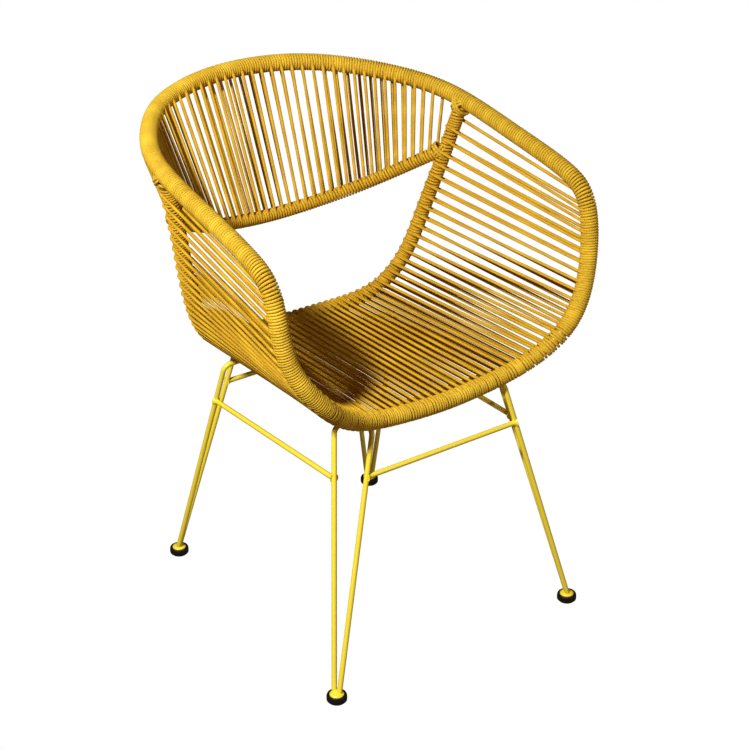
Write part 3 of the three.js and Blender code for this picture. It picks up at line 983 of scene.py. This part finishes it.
def add_bead(work, place, along, sizes, roughness=0.0004):
    """A lump of weld that is long along one direction."""
    made = bmesh.ops.create_icosphere(work, subdivisions=3, radius=1)["verts"]
    turn = Vector(along).to_track_quat("X", "Z").to_matrix().to_4x4()
    bmesh.ops.transform(work, matrix=turn @ Matrix.Diagonal((*sizes, 1)), verts=made)
    for vert in made:
        vert.co += vert.normal * chance.uniform(-roughness, roughness)
    every_way = {"use_axis_x": True, "use_axis_y": True, "use_axis_z": True}
    bmesh.ops.smooth_vert(work, verts=made, factor=0.5, **every_way)
    bmesh.ops.translate(work, vec=Vector(place), verts=made)


def crossing(first, second):
    """The middle between two bars where they pass closest, seen from above."""
    (p, q), (r, s) = (route[1:3] for route in (rod_routes[first], rod_routes[second]))
    d, e = (q - p)[:2], (s - r)[:2]
    share = np.cross(r[:2] - p[:2], e) / np.cross(d, e)
    place = p + share * (q - p)
    other = r + (s - r) * ((place[:2] - r[:2]) @ e) / (e @ e)
    return (place + other) / 2, q - p


beads = bmesh.new()
for across in ("front_frame", "back_frame"):
    for lengthwise in ("left_frame", "right_frame"):
        place, along = crossing(across, lengthwise)
        add_bead(beads, place, along, crossing_bead)
for foot, place in feet.items():
    base = (place.x, place.y, foot_height + weld_gap + cup_height)
    add_bead(beads, base, (1, 0, 0.2), foot_bead)
for face in beads.faces:
    face.smooth = True
bead_mesh = bpy.data.meshes.new("weld_beads")
beads.to_mesh(bead_mesh)
beads.free()
add_piece("weld_beads", bead_mesh, "base_rod", rod_coat)
print("weld beads", len(bead_mesh.polygons), "faces")


# %% [markdown]
# ## The feet
# A foot is turned work: a steel disc pressed into a rubber shoe whose lip stands round it. Each is a
# half outline spun about the foot's middle, with a short bevel at every edge so that it catches light.

# %% Turned feet
def turned_mesh(name, outline, place, steps=48):
    """The solid that the outline, from axis to axis, makes when it is spun about an upright line."""
    work = bmesh.new()
    verts = [work.verts.new((radius, 0, height)) for radius, height in outline]
    edges = [work.edges.new(pair) for pair in zip(verts, verts[1:])]
    bmesh.ops.spin(
        work,
        geom=verts + edges,
        cent=(0, 0, 0),
        axis=(0, 0, 1),
        angle=2 * math.pi,
        steps=steps,
        use_merge=True,
    )
    bmesh.ops.remove_doubles(work, verts=work.verts, dist=1e-6)
    bmesh.ops.recalc_face_normals(work, faces=work.faces)
    bmesh.ops.translate(work, vec=(place.x, place.y, 0), verts=work.verts)
    for face in work.faces:
        face.smooth = True
    mesh = bpy.data.meshes.new(name)
    work.to_mesh(mesh)
    work.free()
    return mesh


def toward(corner, other, cut):
    """A point a little way from a corner to the next one, and never as far as halfway."""
    return corner + (other - corner) * min(0.45, cut / np.linalg.norm(other - corner))


def rounded(corners, cut, steps=3):
    """The outline with each inner corner replaced by a short curve."""
    path = [corners[0]]
    for before, corner, after in zip(corners, corners[1:], corners[2:]):
        before, corner, after = (np.array(p) for p in (before, corner, after))
        first, last = toward(corner, before, cut), toward(corner, after, cut)
        for k in range(steps + 1):
            t = k / steps
            path.append(tuple((1 - t) ** 2 * first + 2 * t * (1 - t) * corner + t * t * last))
    path.append(corners[-1])
    return path


lip_rise, lip_wall = 0.0022, 0.0028
shoe_cut, disc_cut = 0.0010, 0.0008
shoe_outline = [
    (0, 0),
    (sole_width / 2, 0),
    (foot_width / 2, 0.0032),
    (foot_width / 2, foot_height + lip_rise - 0.003),
    (foot_width / 2 - 0.0012, foot_height + lip_rise),
    (foot_width / 2 - lip_wall, foot_height + lip_rise),
    (cup_width / 2 + 0.0006, foot_height),
    (0, foot_height),
]
cup_base = foot_height + weld_gap
cup_outline = [
    (0, cup_base),
    (cup_width / 2, cup_base),
    (cup_width / 2, cup_base + 0.0022),
    (cup_width / 2 - 0.0028, cup_base + 0.0042),
    (0.0060, cup_base + cup_height),
    (0, cup_base + cup_height),
]
for foot, place in feet.items():
    shoe = turned_mesh(foot + "_shoe", rounded(shoe_outline, shoe_cut), place)
    add_piece(foot + "_shoe", shoe, "foot_rubber", foot_rubber, "rubber_foot_" + foot)
    cup = turned_mesh(foot + "_disc", rounded(cup_outline, disc_cut), place)
    add_piece(foot + "_disc", cup, "foot_cup", rod_coat, "foot_cup_" + foot)
print(len(feet), "feet")

# %% [markdown]
# ## The studio
# The chair hangs in plain white, lit by a lamp high at the left and by white light from below, as over
# a pale studio floor. The light from above is dim and warm, which keeps the inside of the seat dark.
# A Mix Shader shows the camera a plain white world and gives the chair this light. The camera's place
# and lens came from matching the chair's own lines with the photograph.

# %% Backdrop and light
scene = bpy.context.scene
scene.view_settings.view_transform = "Standard"
scene.view_settings.gamma = 0.8  # below 1 deepens the shade
light_above, light_below = 0.05, 0.31
color_above, color_below = (1.0, 0.36, 0.10, 1), (1.0, 0.88, 0.62, 1)
world = bpy.data.worlds.new("studio")
scene.world = world
world.use_nodes = True
world_tree = world.node_tree
sky_light = world_tree.nodes["Background"]
direction = world_tree.nodes.new("ShaderNodeTexCoord")
split = world_tree.nodes.new("ShaderNodeSeparateXYZ")
world_tree.links.new(direction.outputs["Generated"], split.inputs[0])
from_below = math_node(world_tree, "MULTIPLY_ADD", split.outputs[2], -0.5, 0.5)
tint = mixed_color(world_tree, from_below, color_above, color_below)
world_tree.links.new(tint, sky_light.inputs["Color"])
brightness = math_node(world_tree, "MULTIPLY_ADD", from_below, light_below - light_above, light_above)
world_tree.links.new(brightness, sky_light.inputs["Strength"])
backdrop = world_tree.nodes.new("ShaderNodeBackground")
backdrop.inputs["Strength"].default_value = 1.0
backdrop.inputs["Color"].default_value = (1, 1, 1, 1)
either = world_tree.nodes.new("ShaderNodeMixShader")
seen_by = world_tree.nodes.new("ShaderNodeLightPath")
world_tree.links.new(seen_by.outputs["Is Camera Ray"], either.inputs[0])
world_tree.links.new(sky_light.outputs[0], either.inputs[1])
world_tree.links.new(backdrop.outputs[0], either.inputs[2])
world_tree.links.new(either.outputs[0], world_tree.nodes["World Output"].inputs[0])


def add_lamp(name, place, size, power):
    """A round lamp that is aimed at the middle of the chair."""
    light = bpy.data.lights.new(name, "AREA")
    light.shape = "DISK"
    light.size = size
    light.energy = power
    lamp = bpy.data.objects.new(name, light)
    lamp.location = place
    aim = Vector((0, 0, 0.4)) - lamp.location
    lamp.rotation_euler = aim.to_track_quat("-Z", "Y").to_euler()
    scene.collection.objects.link(lamp)


add_lamp("key", Vector((-2.25, -1.0, 2.75)), 0.3, 135)
add_lamp("fill", Vector((1.2, -2.8, 1.2)), 1.5, 18)
print("white backdrop, sky light and two lamps")

# %% Camera
camera_turn, camera_rise = math.radians(-36.68), math.radians(26.70)
camera_distance, camera_lens = 2.9384, 91.18
picture_width = 750  # the shifts are counted in the photograph's pixels
aim_point = Vector((0.0035, (front_feet_y + rear_feet_y) / 2 - 0.0321, 0.3793))
back = Vector(
    (
        math.sin(camera_turn) * math.cos(camera_rise),
        -math.cos(camera_turn) * math.cos(camera_rise),
        math.sin(camera_rise),
    )
)
camera = bpy.data.objects.new("camera", bpy.data.cameras.new("camera"))
camera.data.lens = camera_lens
camera.data.shift_x = -0.2 / picture_width
camera.data.shift_y = 4.35 / picture_width
camera.location = aim_point + back * camera_distance
camera.rotation_euler = (-back).to_track_quat("-Z", "Y").to_euler()
scene.collection.objects.link(camera)
scene.camera = camera
print("camera at", [round(v, 3) for v in camera.location])
